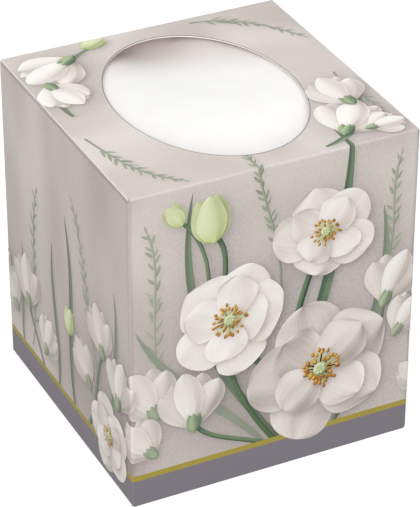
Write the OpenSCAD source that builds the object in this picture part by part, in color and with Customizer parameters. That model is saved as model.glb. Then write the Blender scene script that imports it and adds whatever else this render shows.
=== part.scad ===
// Upright tissue box: one folded and glued paperboard carton with an oval opening in its top,
// and the clip of interfolded tissues that is bent over inside it.
// The origin is at the middle of the base, the front is towards -Y and +Z is up.

/* [Carton] */
// Width of the carton, side to side
carton_w = 111.2; // [95:0.1:125]
// Depth of the carton, front to back
carton_d = 111.2; // [100:0.1:125]
// Height of the carton
carton_h = 127; // [112:0.5:145]
// Thickness of the board
board_t = 0.42; // [0.3:0.02:0.56]
// Outer radius of every fold
fold_r = 0.75; // [0.7:0.05:1.2]
// Thickness of the glue between two glued layers
glue_t = 0.05; // [0.03:0.01:0.1]

/* [Opening] */
// Width of the oval opening, side to side
opening_w = 67.6; // [50:0.2:76]
// Length of the oval opening, front to back
opening_l = 93; // [70:0.5:96]
// How far the inner flaps stay back from the edge of the opening
opening_relief = 3; // [1:0.5:4]

/* [Flaps] */
// Length of the two dust flaps under the top panel
top_dust_l = 18; // [10:0.5:20]
// Length of the back flap that the top panel is glued to
top_back_l = 22; // [12:0.5:30]
// Length of the two dust flaps inside the base
base_dust_l = 45; // [30:1:48]
// Width of the slot where the two outer flaps of the base meet
base_slot_w = 1; // [0.5:0.1:3]
// Width of the glue flap down the back right corner
seam_flap_w = 15; // [10:0.5:20]
// How far each flap gets narrower on either side, from its fold to its end
flap_taper = 2.5; // [0:0.5:4]
// Width of the slits that part a flap from its neighbours
slit_w = 0.5; // [0.3:0.1:1]
// How far a raw edge stays back from the wall that it lies over
raw_inset = 0.25; // [0:0.05:0.5]
// How far the raw side edges of the base flaps stay back
base_inset = 0.6; // [0.3:0.1:1.5]
// Width of each strip of glue
glue_w = 5; // [3:0.5:7]

/* [Tissues] */
// Gap between the clip of tissues and each side wall
clip_side_gap = 2.2; // [0.5:0.1:5]
// Gap between the clip and the front and back walls
clip_face_gap = 0.3; // [0.2:0.1:2]
// Gap between the crown of the clip and the flaps above it
crown_gap = 0.5; // [0.3:0.1:3]
// Gap between the innermost leaves and the base that they stand on
seat_gap = 0.3; // [0.2:0.1:1]
// Thickness of the clip where it bends over
crown_t = 20.4; // [15:0.2:28]
// Space between the two legs of the clip
bend_gap = 4; // [2:0.5:10]
// Radius of the outermost leaf over the crown
crown_r = 116; // [100:1:140]
// Radius at which the outermost leaf turns down beside the wall
shoulder_r = 4; // [3:0.5:8]
// How far the folded leaves stand out beyond the leaves between them
leaf_ridge = 0.6; // [0.3:0.1:1.2]
// Number of folded leaves that show at the ends of the clip
leaf_count = 16; // [8:1:20]

/* [Hidden] */
$fn = 48;
// The four walls, each by how far it is turned from the front one
front_angle = 0;
right_angle = 90;
back_angle = 180;
left_angle = 270;
// One glued layer below another
layer_pitch = board_t + glue_t;
// How far a cutter reaches past what it cuts
cut_margin = 1;
// Points round the oval opening, and the length of each facet along a leaf's bend
oval_points = 120;
facet_l = 4;
// How far the outermost leaf goes in depth, and the heights of the clip's crown and seat
clip_half_d = carton_d / 2 - layer_pitch - board_t - clip_face_gap;
clip_w = carton_w - 2 * board_t - 2 * clip_side_gap;
crown_z = carton_h - layer_pitch - board_t - crown_gap;
seat_z = layer_pitch + board_t + seat_gap;
// Where the straight part of a side wall begins above its lower fold
side_low = layer_pitch + fold_r;
// Width of the back flap, which fits between the two dust flaps
top_back_w = carton_w - 2 * top_dust_l - 2 * flap_taper;
// Shares of the way through the clip at which a folded leaf begins and ends, per leaf
ridge_start_share = 0.25;
ridge_end_share = 0.75;
// Every tissue is equally long, and the innermost of all just reaches the seat
half_sheet = leg_reach(bend(0), seat_z) + leaf_ridge;

// Half the distance between a wall and the wall across from it
function reach(side) = (side % 180 == 0 ? carton_d : carton_w) / 2;
// Half the width of a wall, its two rounded folds included
function half_width(side) = (side % 180 == 0 ? carton_w : carton_d) / 2;
// How far the straight part of a wall goes to either side, between its rounded folds
function half_flat(side) = half_width(side) - fold_r;
function mix(a, b, share) = a + (b - a) * share;
function total(values) = values * [for (value = values) 1];
function reversed(points) = [for (i = [len(points) - 1 : -1 : 0]) points[i]];
function mirrored(points) = [for (point = points) [-point.x, point.y]];

// A wall's own frame: X along the wall, Y into the carton and Z up
module at_wall(side) {
    rotate([0, 0, side])
        translate([0, -reach(side), 0])
            children();
}

// The section of a fold, from a wall on the left up and over to a flap on the right
module fold_section() {
    intersection() {
        difference() {
            circle(r = fold_r);
            circle(r = fold_r - board_t);
        }
        translate([-fold_r, 0])
            square(fold_r);
    }
}

// A fold along X with its outer faces at Y = 0 and Z = level
module fold(width, level) {
    translate([-width / 2, fold_r, level - fold_r])
        rotate([90, 0, 90])
            linear_extrude(width)
                fold_section();
}

// A flap and the fold that it hangs on, reaching length into the carton
module flap(width, length, level, taper = 0) {
    fold(width, level);
    translate([0, 0, level - board_t])
        linear_extrude(board_t)
            polygon([
                [-width / 2, fold_r],
                [width / 2, fold_r],
                [width / 2 - taper, length],
                [-width / 2 + taper, length]
            ]);
}

// The oval of the opening, grown by margin all round
module oval(margin = 0) {
    polygon([
        for (i = [0 : oval_points - 1])
            let (turn = 360 * i / oval_points)
                [(opening_w / 2 + margin) * cos(turn), (opening_l / 2 + margin) * sin(turn)]
    ]);
}

// A cutter as tall as the top of the carton
module oval_cutter(margin = 0) {
    translate([0, 0, carton_h - 2 * layer_pitch - cut_margin])
        linear_extrude(2 * layer_pitch + 2 * cut_margin)
            oval(margin);
}

// The straight part of a wall, from low to high, between its two ends along X
module wall(side, from, to, low, high) {
    at_wall(side)
        translate([from, 0, low])
            cube([to - from, board_t, high - low]);
}

// The rounded fold between a wall and the next one to its left, set back from the wall's plane
module corner_fold(side, low, high, set_back = 0) {
    at_wall(side)
        translate([-half_flat(side), fold_r + set_back, low])
            linear_extrude(high - low)
                mirror([0, 1])
                    fold_section();
}

// The four walls, wrapped round from the back wall's raw edge to the glue flap inside it
module walls() {
    side_high = carton_h - side_low;
    notch_w = top_back_w + 2 * slit_w;
    wall(front_angle, -half_flat(front_angle), half_flat(front_angle), fold_r, carton_h - fold_r);
    wall(left_angle, -half_flat(left_angle), half_flat(left_angle), side_low, side_high);
    wall(right_angle, -half_flat(right_angle), half_flat(right_angle) - layer_pitch,
        side_low, side_high);
    difference() {
        wall(back_angle, -half_width(back_angle) + raw_inset, half_flat(back_angle),
            fold_r, carton_h - layer_pitch);
        at_wall(back_angle)
            translate([-notch_w / 2, -cut_margin, side_high])
                cube([notch_w, board_t + 2 * cut_margin, side_low]);
    }
    corner_fold(front_angle, fold_r, carton_h - layer_pitch);
    corner_fold(right_angle, fold_r, carton_h - layer_pitch);
    corner_fold(left_angle, fold_r, carton_h - layer_pitch);
}

// The glue flap: the right wall turns in behind the back wall and is glued to it
module seam_flap() {
    corner_fold(back_angle, side_low, carton_h - side_low, layer_pitch);
    flap_low = side_low + flap_taper;
    at_wall(back_angle)
        translate([-half_flat(back_angle), layer_pitch + board_t, 0])
            rotate([90, 0, 0])
                linear_extrude(board_t)
                    polygon([
                        [0, side_low],
                        [seam_flap_w, flap_low],
                        [seam_flap_w, carton_h - flap_low],
                        [0, carton_h - side_low]
                    ]);
    at_wall(back_angle)
        translate([-half_flat(back_angle) + (seam_flap_w - glue_w) / 2, board_t, flap_low])
            cube([glue_w, glue_t, carton_h - 2 * flap_low]);
}

// The top panel, hinged on the front wall. Its other three edges are raw
module top_panel() {
    difference() {
        union() {
            at_wall(front_angle)
                fold(carton_w - 2 * fold_r, carton_h);
            translate([-carton_w / 2 + raw_inset, -carton_d / 2 + fold_r, carton_h - board_t])
                cube([carton_w - 2 * raw_inset, carton_d - fold_r - raw_inset, board_t]);
        }
        oval_cutter();
    }
}

// The dust flaps and the back flap, side by side under the top panel and glued to it
module top_inner_flaps() {
    level = carton_h - layer_pitch;
    difference() {
        union() {
            for (side = [left_angle, right_angle])
                at_wall(side)
                    flap(2 * half_flat(side) - 2 * slit_w, top_dust_l, level, flap_taper);
            at_wall(back_angle)
                flap(top_back_w, top_back_l, level, flap_taper);
        }
        oval_cutter(opening_relief);
    }
}

// Strips of glue between the top panel and the flaps under it
module top_glue() {
    strip_l = carton_d - 2 * top_back_l;
    lobe_x = carton_w / 2 - top_dust_l - 2 * flap_taper - glue_w;
    lobe_y = carton_d / 2 - top_back_l / 2;
    for (side = [left_angle, right_angle])
        at_wall(side)
            translate([-strip_l / 2, fold_r + glue_w / 2, carton_h - layer_pitch])
                cube([strip_l, glue_w, glue_t]);
    for (x = [-lobe_x, lobe_x])
        translate([x - glue_w / 2, lobe_y - glue_w / 2, carton_h - layer_pitch])
            cube([glue_w, glue_w, glue_t]);
}

// The base: two outer flaps from the front and back walls meet over two dust flaps
module base_flaps() {
    outer_w = carton_w - 2 * base_inset;
    mirror([0, 0, 1]) {
        for (side = [front_angle, back_angle])
            at_wall(side)
                intersection() {
                    flap(outer_w, (carton_d - base_slot_w) / 2, 0);
                    translate([-carton_w / 2 + fold_r, 0, -2 * fold_r])
                        cube([carton_w - 2 * fold_r, carton_d, 2 * fold_r]);
                }
        for (side = [left_angle, right_angle])
            at_wall(side)
                flap(2 * half_flat(side) - 2 * slit_w, base_dust_l, -layer_pitch, flap_taper);
    }
}

// Strips of glue between the outer flaps of the base and its dust flaps
module base_glue() {
    strip_l = base_dust_l - 2 * glue_w;
    strip_x = carton_w / 2 - base_dust_l + glue_w / 2;
    strip_y = carton_d / 4;
    for (x = [-strip_x - strip_l, strip_x])
        for (y = [-strip_y, strip_y])
            translate([x, y - glue_w / 2, board_t])
                cube([strip_l, glue_w, glue_t]);
}

module carton() {
    color([0.83, 0.80, 0.77])
        union() {
            walls();
            seam_flap();
            top_panel();
            top_inner_flaps();
            top_glue();
            base_flaps();
            base_glue();
        }
}

// Half of the bend of the leaf that lies at a share of the way from the innermost, 0, to the
// outermost, 1: a wide arc over the crown, then a tight one down to where the leg hangs straight
function bend(share) =
    let (
        half_d = mix(bend_gap / 2, clip_half_d, share),
        shoulder = mix(bend_gap / 2, shoulder_r, share),
        arc_r = crown_r - (1 - share) * crown_t,
        tip = asin((half_d - shoulder) / (arc_r - shoulder)),
        middle_z = crown_z - crown_r,
        shoulder_z = middle_z + (arc_r - shoulder) * cos(tip),
        crown_steps = ceil(arc_r * tip * PI / 180 / facet_l),
        shoulder_steps = 2 + ceil(shoulder * (90 - tip) * PI / 180 / facet_l)
    )
    concat(
        [
            for (i = [0 : crown_steps])
                let (turn = tip * i / max(crown_steps, 1))
                    [arc_r * sin(turn), middle_z + arc_r * cos(turn)]
        ],
        [
            for (i = [1 : shoulder_steps])
                let (turn = mix(tip, 90, i / shoulder_steps))
                    [
                        half_d - shoulder + shoulder * sin(turn),
                        shoulder_z + shoulder * cos(turn)
                    ]
        ]
    );
function bend_length(points) =
    total([for (i = [1 : len(points) - 1]) norm(points[i] - points[i - 1])]);
// How long half a leaf is that follows these points and then hangs straight down to a height
function leg_reach(points, height) =
    bend_length(points) + points[len(points) - 1].y - height;
function leg_end(share, half_length) =
    let (points = bend(share))
        [points[len(points) - 1].x, leg_reach(points, 0) - half_length];

// One leaf from end to end, over the crown
function leaf(share, half_length) =
    let (half = concat(bend(share), [leg_end(share, half_length)]))
        concat(reversed(mirrored(half)), [for (i = [1 : len(half) - 1]) half[i]]);

// The outline of all leaves from one share to another, whose cut ends make a slope
function leaves(from, to, half_length, steps) =
    let (
        ends = [
            for (i = [1 : 1 : steps - 1])
                leg_end(mix(to, from, i / steps), half_length)
        ]
    )
    concat(
        leaf(to, half_length),
        ends,
        reversed(leaf(from, half_length)),
        mirrored(reversed(ends))
    );

// An outline in depth and height, drawn out over a width
module across(width) {
    translate([-width / 2, 0, 0])
        rotate([90, 0, 90])
            linear_extrude(width)
                children();
}

// Equally long tissues bent over a tight fold, so that the outer ones end higher than the inner
module tissue_stack() {
    color([0.98, 0.98, 0.97])
        union() {
            across(clip_w - 2 * leaf_ridge)
                polygon(leaves(0, 1, half_sheet - leaf_ridge, leaf_count));
            for (i = [0 : leaf_count - 1])
                across(clip_w)
                    polygon(leaves(
                        (i + ridge_start_share) / leaf_count,
                        (i + ridge_end_share) / leaf_count,
                        half_sheet,
                        1
                    ));
        }
}

carton();
tissue_stack();
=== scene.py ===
"""Looks of an upright tissue box: its printed and folded carton, and the clip of tissues in it."""

import logging
import math
from dataclasses import dataclass, field
from enum import Enum
from itertools import groupby

import bmesh
import bpy
import numpy as np
from mathutils import Matrix, Vector


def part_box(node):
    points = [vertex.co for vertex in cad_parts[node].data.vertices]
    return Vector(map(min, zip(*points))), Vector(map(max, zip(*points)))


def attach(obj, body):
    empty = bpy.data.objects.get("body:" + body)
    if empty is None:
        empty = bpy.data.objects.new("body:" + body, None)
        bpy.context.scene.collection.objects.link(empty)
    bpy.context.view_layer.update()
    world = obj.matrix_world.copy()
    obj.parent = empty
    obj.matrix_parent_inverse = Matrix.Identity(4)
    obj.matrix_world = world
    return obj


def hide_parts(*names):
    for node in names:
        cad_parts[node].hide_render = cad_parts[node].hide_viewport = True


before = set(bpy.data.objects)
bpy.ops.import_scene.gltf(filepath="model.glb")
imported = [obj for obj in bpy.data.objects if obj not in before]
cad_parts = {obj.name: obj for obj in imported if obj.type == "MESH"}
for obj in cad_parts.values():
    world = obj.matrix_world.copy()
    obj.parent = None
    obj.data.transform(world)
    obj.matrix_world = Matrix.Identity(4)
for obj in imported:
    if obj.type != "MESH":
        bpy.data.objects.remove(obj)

LOG = logging.getLogger("tissue_box")
MM = 0.001
BODY = "root"

Colour = tuple[float, float, float, float]
Line = tuple[tuple[float, float], ...]


def srgb(red: int, green: int, blue: int) -> Colour:
    """Turns a colour as a screen shows it into the linear one that a shader takes.

    Args:
        red: Red from 0 to 255.
        green: Green from 0 to 255.
        blue: Blue from 0 to 255.

    Returns:
        The linear colour with full alpha.
    """
    shares = [channel / 255 for channel in (red, green, blue)]
    linear = [s / 12.92 if s <= 0.04045 else ((s + 0.055) / 1.055) ** 2.4 for s in shares]
    return (*linear, 1.0)


def put_in_scene(name: str, data: bpy.types.ID) -> bpy.types.Object:
    """Puts a new object into the scene.

    Args:
        name: The object's name.
        data: Its mesh, camera or light.

    Returns:
        The object.
    """
    made = bpy.data.objects.new(name, data)
    bpy.context.scene.collection.objects.link(made)
    return made


def mesh_data(mesh: bmesh.types.BMesh, name: str) -> bpy.types.Mesh:
    """Turns a bmesh into mesh data.

    Args:
        mesh: The bmesh, which is freed.
        name: The name of the data.

    Returns:
        The mesh data.
    """
    data = bpy.data.meshes.new(name)
    mesh.to_mesh(data)
    mesh.free()
    return data


def add_piece(
    mesh: bmesh.types.BMesh, name: str, materials: list[bpy.types.Material]
) -> bpy.types.Object:
    """Makes a finished bmesh a piece that rides on the part's body.

    Args:
        mesh: The mesh, in metres, which is freed.
        name: The piece's name.
        materials: Its materials, by slot.

    Returns:
        The piece.
    """
    data = mesh_data(mesh, name)
    for polygon in data.polygons:
        polygon.use_smooth = True
    for material in materials:
        data.materials.append(material)
    piece = put_in_scene(name, data)
    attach(piece, BODY)
    LOG.info("%s: %d faces", name, len(data.polygons))
    return piece


@dataclass(frozen=True)
class CartonSizes:
    """Sizes of the folded carton in millimetres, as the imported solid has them."""

    width: float
    depth: float
    height: float
    board: float = 0.42
    fold_radius: float = 0.75
    layer_pitch: float = 0.47
    raw_inset: float = 0.25
    opening_w: float = 67.6
    opening_l: float = 93.0
    band_top: float = 11.2
    gold_top: float = 13.5

    @classmethod
    def measured(cls) -> "CartonSizes":
        """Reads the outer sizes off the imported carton."""
        low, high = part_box("carton")
        return cls(*[(high[i] - low[i]) / MM for i in range(3)])

    @property
    def half_w(self) -> float:
        """Half the width."""
        return self.width / 2

    @property
    def half_d(self) -> float:
        """Half the depth."""
        return self.depth / 2

    @property
    def flat_w(self) -> float:
        """How far the flat of the front wall goes to either side."""
        return self.half_w - self.fold_radius

    @property
    def wall_pitch(self) -> float:
        """How far the middles of two neighbouring walls lie apart on the flat blank."""
        return (self.width + self.depth) / 2

    @property
    def side_top(self) -> float:
        """Top of the flaps under the top panel, where the other walls end."""
        return self.height - self.layer_pitch


class Wall(Enum):
    """The four walls, each by its quarter turns from the front one."""

    BACK = -2
    LEFT = -1
    FRONT = 0
    RIGHT = 1


class Panel(Enum):
    """The printed panels, in the order of printing."""

    FRONT = "front"
    LEFT = "left"
    TOP = "top"
    RIGHT = "right"
    BACK = "back"


@dataclass(frozen=True)
class Blank:
    """The carton's printed side laid flat, in millimetres.

    X runs round the walls from the middle of the front, Y runs up them, and the top panel lies
    above the front wall.
    """

    sizes: CartonSizes

    def wall_middle(self, wall: Wall) -> float:
        """X of the middle of a wall."""
        return wall.value * self.sizes.wall_pitch

    def wall_half(self, wall: Wall) -> float:
        """Half the length of a wall along X."""
        return self.sizes.half_d if wall.value % 2 else self.sizes.half_w

    def corners(self) -> list[float]:
        """X of the three folds between walls."""
        half_w, depth = self.sizes.half_w, self.sizes.depth
        return [-half_w - depth, -half_w, half_w]

    def panel_corner(self, panel: Panel) -> tuple[float, float]:
        """Finds the lower left corner of a panel.

        Args:
            panel: The panel.

        Returns:
            Its X and Y on the blank.
        """
        s = self.sizes
        left = -s.half_w - s.depth
        sides = {Panel.LEFT: left, Panel.RIGHT: s.half_w, Panel.BACK: left - s.width}
        return sides.get(panel, -s.half_w), s.height if panel is Panel.TOP else 0

    def on_top(self, flat: np.ndarray) -> np.ndarray:
        """Tells which points lie on the top panel or on its fold.

        Args:
            flat: One row per point, its X and Y first.

        Returns:
            True for each point that does.
        """
        x, y, s = np.abs(flat[:, 0]), flat[:, 1], self.sizes
        over_fold = (x <= s.flat_w + 0.01) & (y > s.height - s.fold_radius)
        return over_fold | (x <= s.half_w) & (y > s.height + s.fold_radius - 0.01)

    def folded(self, flat: np.ndarray) -> np.ndarray:
        """Folds points of the flat blank onto the carton.

        Args:
            flat: One row per point: X, Y and the height above the board.

        Returns:
            One row per point: its place on the carton, in millimetres.
        """
        s, radius = self.sizes, self.sizes.fold_radius
        x, y, lift = flat.T
        wall = Wall.BACK.value + sum((x > corner).astype(int) for corner in self.corners())
        sideways = wall % 2 == 1
        along = x - wall * s.wall_pitch
        half = np.where(sideways, s.half_d, s.half_w)
        reach = np.where(sideways, s.half_w, s.half_d)
        past = np.maximum(np.abs(along) - half + radius, 0)
        angle = past / (2 * radius) * math.pi / 2
        bent = np.sign(along) * (half - radius + (radius + lift) * np.sin(angle))
        along = np.where(past > 0, bent, along)
        out = reach - radius + (radius + lift) * np.cos(angle)
        c, n = np.cos(wall * math.pi / 2), np.sin(wall * math.pi / 2)
        spot = np.stack([n * out + c * along, -c * out + n * along, y], axis=1)
        top = self.on_top(flat)
        past = y[top] - (s.height - radius)
        angle = np.clip(past / (2 * radius), 0, 1) * math.pi / 2
        arc = radius + lift[top]
        flat_part = np.maximum(past - 2 * radius, 0)
        spot[top, 0] = x[top]
        spot[top, 1] = radius - s.half_d - arc * np.cos(angle) + flat_part
        spot[top, 2] = s.height - radius + arc * np.sin(angle)
        return spot

    def fold_lines(self) -> list[tuple[int, float]]:
        """Lists the lines that round a mesh over the folds.

        Returns:
            Each line as the axis that it crosses and its place on it.
        """
        steps = [self.sizes.fold_radius * i / 4 for i in range(-4, 5)]
        upright = [(0, corner + step) for corner in self.corners() for step in steps]
        return upright + [(1, self.sizes.height + step) for step in steps]


class ShadeMap:
    """A square grid over the flat blank that holds what covers it, for soft printed shade."""

    CELL = 0.5
    EDGE = 10.0

    def __init__(self, blank: Blank) -> None:
        """Makes an empty map.

        Args:
            blank: The blank that the map covers.
        """
        s = blank.sizes
        self.low = np.array([-s.half_w - s.depth - s.width - self.EDGE, -self.EDGE])
        high = np.array([s.half_w + s.depth + self.EDGE, s.height + s.depth + self.EDGE])
        columns, rows = np.ceil((high - self.low) / self.CELL).astype(int)
        self.cover = np.zeros((rows, columns))
        self.level = np.zeros((rows, columns), dtype=int)

    def window(self, points: np.ndarray, margin: float) -> tuple[slice, slice]:
        """Finds the rows and columns round some points.

        Args:
            points: One row per point, its X and Y first.
            margin: How far the window goes past them.

        Returns:
            The slices of rows and of columns.
        """
        first = ((points[:, :2].min(0) - margin - self.low) / self.CELL).astype(int)
        last = ((points[:, :2].max(0) + margin - self.low) / self.CELL).astype(int) + 2
        size = np.array(self.cover.shape[::-1])
        first, last = np.clip(first, 0, size - 2), np.clip(last, 2, size)
        return slice(first[1], last[1]), slice(first[0], last[0])

    def inside(self, outline: np.ndarray, window: tuple[slice, slice]) -> np.ndarray:
        """Tells which cells of a window lie inside a closed outline.

        Args:
            outline: One row per point, X and Y.
            window: The slices of rows and of columns.

        Returns:
            True for each cell of the window that lies inside.
        """
        rows, columns = window
        y = (self.low[1] + (np.arange(rows.start, rows.stop) + 0.5) * self.CELL)[:, None]
        x = (self.low[0] + (np.arange(columns.start, columns.stop) + 0.5) * self.CELL)[None, :]
        found = np.zeros((y.size, x.size), dtype=bool)
        for (x1, y1), (x2, y2) in zip(outline, np.roll(outline, -1, axis=0)):
            if y1 != y2:
                crosses = (y1 > y) != (y2 > y)
                found ^= crosses & (x < (x2 - x1) * (y - y1) / (y2 - y1) + x1)
        return found

    def stack(self, outlines: list[np.ndarray]) -> int:
        """Lays shapes of one level over what is there.

        Args:
            outlines: The closed outlines of the shapes.

        Returns:
            Their level, counted from the board.
        """
        windows = [self.window(outline, self.CELL) for outline in outlines]
        covered = [self.inside(outline, window) for outline, window in zip(outlines, windows)]
        shapes = list(zip(windows, covered))
        level = 1 + int(max(self.level[window][cells].max(initial=0) for window, cells in shapes))
        for window, cells in shapes:
            self.level[window][cells] = level
        return level

    def add(self, outline: np.ndarray, amount: float) -> None:
        """Marks the cells inside an outline as covered.

        Args:
            outline: The closed outline.
            amount: How much it covers them, from 0 to 1.
        """
        window = self.window(outline, self.CELL)
        cover = self.cover[window]
        inside = self.inside(outline, window)
        cover[inside] = np.maximum(cover[inside], amount)

    def shade(self, points: np.ndarray, drop: float, spread: float) -> np.ndarray:
        """Reads the soft shade of the cover at some points.

        Args:
            points: One row per point, its X and Y first.
            drop: How far the shade falls to the right and down.
            spread: How soft the shade is.

        Returns:
            The shade at each point, from 0 to 1.
        """
        rows, columns = self.window(points, drop + 3 * spread)
        soft = self.cover[rows, columns]
        for axis in (0, 1):
            count = soft.shape[axis]
            gap = (np.arange(count)[:, None] - np.arange(count)[None, :]) * self.CELL
            weight = np.exp(-((gap / spread) ** 2) / 2) * self.CELL / (spread * math.sqrt(2 * math.pi))
            soft = weight @ soft if axis == 0 else soft @ weight
        corner = self.low + np.array([columns.start, rows.start]) * self.CELL
        at = (points[:, :2] + np.array([-drop, drop]) - corner) / self.CELL - 0.5
        limit = np.array(soft.shape[::-1]) - 2
        at = np.clip(at, 0, limit)
        base = np.minimum(np.floor(at).astype(int), limit)
        (column, row), (right, up) = base.T, (at - base).T
        low = soft[row, column] * (1 - right) + soft[row, column + 1] * right
        high = soft[row + 1, column] * (1 - right) + soft[row + 1, column + 1] * right
        return low * (1 - up) + high * up

    def shades(self, points: np.ndarray, layers: tuple[tuple[float, float, float], ...]) -> np.ndarray:
        """Adds up shades, each by its strength, drop and spread."""
        return sum(strength * self.shade(points, *layer) for strength, *layer in layers)


class Ink(Enum):
    """The inks of the printed motifs, in the order of the material slots."""

    PETAL = 0
    LEAF = 1
    BUD = 2
    GOLD = 3


# The light that the printed shading pretends, from above left
PRINT_LIGHT = np.array([-0.46, 0.56, 0.69])


@dataclass
class Patch:
    """One printed shape: a grid of points with the height that its shading pretends."""

    points: np.ndarray
    along: np.ndarray
    across: np.ndarray
    ink: Ink
    bright: float = 0.0
    fade: float = 0.0
    level: int = 1
    bundle: int = 0
    grounded: bool = False
    shade: np.ndarray = field(default_factory=lambda: np.zeros(0))

    MIDDLE_TONE = 0.7
    CONTRAST = 0.62
    STEEPEST = 0.45
    HOLLOW = 0.16
    HOLLOW_REACH = 0.2

    def outline(self) -> np.ndarray:
        """Walks round the rim of the grid once."""
        p = self.points[:, :, :2]
        return np.concatenate([p[:-1, 0], p[-1, :-1], p[:0:-1, -1], p[0, :0:-1]])

    def tones(self) -> np.ndarray:
        """Works out how bright each point is printed.

        Returns:
            The tone at each point of the grid, from 0 to 1.
        """
        normal = np.cross(np.gradient(self.points, axis=1), np.gradient(self.points, axis=0))
        normal *= np.sign(normal[:, :, 2:] + 1e-9)
        normal[0], normal[-1] = normal[1], normal[-2]
        steepness = self.STEEPEST * np.linalg.norm(normal[:, :, :2], axis=2)
        normal[:, :, 2] = np.maximum(normal[:, :, 2], steepness)
        normal /= np.linalg.norm(normal, axis=2, keepdims=True) + 1e-9
        lit = normal @ PRINT_LIGHT - PRINT_LIGHT[2]
        depth = self.HOLLOW if self.ink is Ink.PETAL else 0
        hollow = depth * np.exp(-((self.along / self.HOLLOW_REACH) ** 2))
        return np.clip(self.MIDDLE_TONE + self.CONTRAST * lit + self.bright - hollow, 0, 1)


def place(patches: list[Patch], x: float, y: float, turn: float = 0.0) -> list[Patch]:
    """Turns patches in the plane of the print, anticlockwise, and moves them.

    Args:
        patches: The patches.
        x: How far they move to the right.
        y: How far they move up.
        turn: How far they turn, in degrees.

    Returns:
        The patches.
    """
    c, s = math.cos(math.radians(turn)), math.sin(math.radians(turn))
    for patch in patches:
        patch.points = patch.points @ np.array([[c, s, 0], [-s, c, 0], [0, 0, 1]]) + np.array([x, y, 0])
    return patches


def faded(patches: list[Patch], fade: float) -> list[Patch]:
    """Lets patches fade into the ground.

    Args:
        patches: The patches.
        fade: How far they fade, from 0 to 1.

    Returns:
        The patches.
    """
    for patch in patches:
        patch.fade = fade
    return patches


@dataclass(frozen=True)
class PetalForm:
    """Shape of a petal, a leaflet or the scale of a bud, growing from its base along +Y."""

    length: float
    width: float
    fullness: float = 1.3
    roundness: float = 0.52
    cup: float = 0.1
    roll: float = 0.2
    ruffle: float = 0.03
    rows: int = 22
    columns: int = 17

    # How far the shape leans, waves, turns up again and is creased, as shares of its size
    LEAN = 0.08
    SIDE_WAVE = 0.05
    TIP_WAVE = 0.03
    TURN_UP = 0.45
    CREASE = 0.05
    CREASE_REACH = 0.16

    def grow(self, ink: Ink, chance: np.random.Generator, bright: float = 0.0) -> Patch:
        """Grows the shape at the origin.

        Args:
            ink: What it is printed with.
            chance: Source of the small differences between like shapes.
            bright: How much brighter than usual it is printed.

        Returns:
            The patch.
        """
        along = np.sin(np.linspace(0, 1, self.rows) ** 0.9 * math.pi / 2)
        across = np.sin(np.linspace(-1, 1, self.columns) * math.pi / 2)
        a, b = np.meshgrid(along, across, indexing="ij")
        phase, lean = chance.uniform(0, 2 * math.pi), chance.uniform(-self.LEAN, self.LEAN)
        swell = np.sin(math.pi * np.clip(a, 0, 1) ** self.fullness) ** self.roundness
        side_wave = self.SIDE_WAVE * np.sin(3 * a * math.pi + phase) * a
        x = b * swell * self.width / 2 * (1 + side_wave)
        x = x + lean * self.length * a**2
        y = self.length * a * (1 + self.TIP_WAVE * np.sin(2.5 * b + phase) * a**3 * swell)
        waves = np.sin(4.2 * b + phase) * a**3 + 0.8 * np.sin(9 * a + 2 * phase) * b**2 * np.sign(b)
        z = (
            self.cup * self.length * a**2
            - self.roll * self.width * (b**2 - self.TURN_UP * b**4) * swell
            - self.CREASE * self.width * np.exp(-((b / self.CREASE_REACH) ** 2)) * (1 - a) ** 0.5
            + self.ruffle * self.width * waves * swell
        )
        return Patch(np.stack([x, y, z], axis=2), a, b, ink, bright)


@dataclass(frozen=True)
class Dome:
    """A round or oval dome, for flower hearts and anthers."""

    width: float
    length: float
    height: float
    points: int = 5

    def grow(self, ink: Ink, bright: float = 0.0, bundle: int = 0) -> Patch:
        """Grows the dome round the origin.

        Args:
            ink: What it is printed with.
            bright: How much brighter than usual it is printed.
            bundle: The bundle that it belongs to.

        Returns:
            The patch.
        """
        line = np.linspace(-1, 1, self.points)
        v, u = np.meshgrid(line, line, indexing="ij")
        x, y = u * np.sqrt(1 - v**2 / 2), v * np.sqrt(1 - u**2 / 2)
        z = np.sqrt(np.clip(1.05 - x**2 - y**2, 0, None))
        points = np.stack([x * self.width / 2, y * self.length / 2, z * self.height], axis=2)
        return Patch(points, (v + 1) / 2, u, ink, bright, bundle=bundle)


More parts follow.
